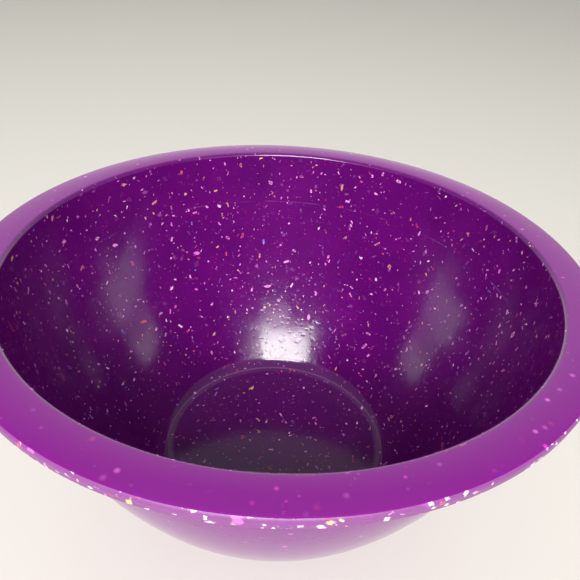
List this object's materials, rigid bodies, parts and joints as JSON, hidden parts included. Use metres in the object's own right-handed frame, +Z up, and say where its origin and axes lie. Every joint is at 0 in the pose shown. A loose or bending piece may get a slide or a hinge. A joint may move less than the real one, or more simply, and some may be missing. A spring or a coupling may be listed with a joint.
{
  "type": "mixing bowl",
  "caption": "Wide round moulded bowl with a flat turned-out rim, a smooth curved wall, a flat floor and a low foot with a soft non-slip ring, for mixing or serving.",
  "frame": {"origin": "centre of the soft ring's underside, on the surface that the bowl stands on", "axes": "+Z up along the bowl's axis of revolution, X and Y across the mouth"},
  "size_m": [0.3116, 0.3116, 0.1598],
  "materials": {
    "speckled_melamine": "gloss moulded melamine with light and coloured flakes",
    "soft_rubber": "matte soft rubber"
  },
  "bodies": {
    "root": {"bowl": "speckled_melamine", "non_slip_ring": "soft_rubber"}
  },
  "joints": []
}
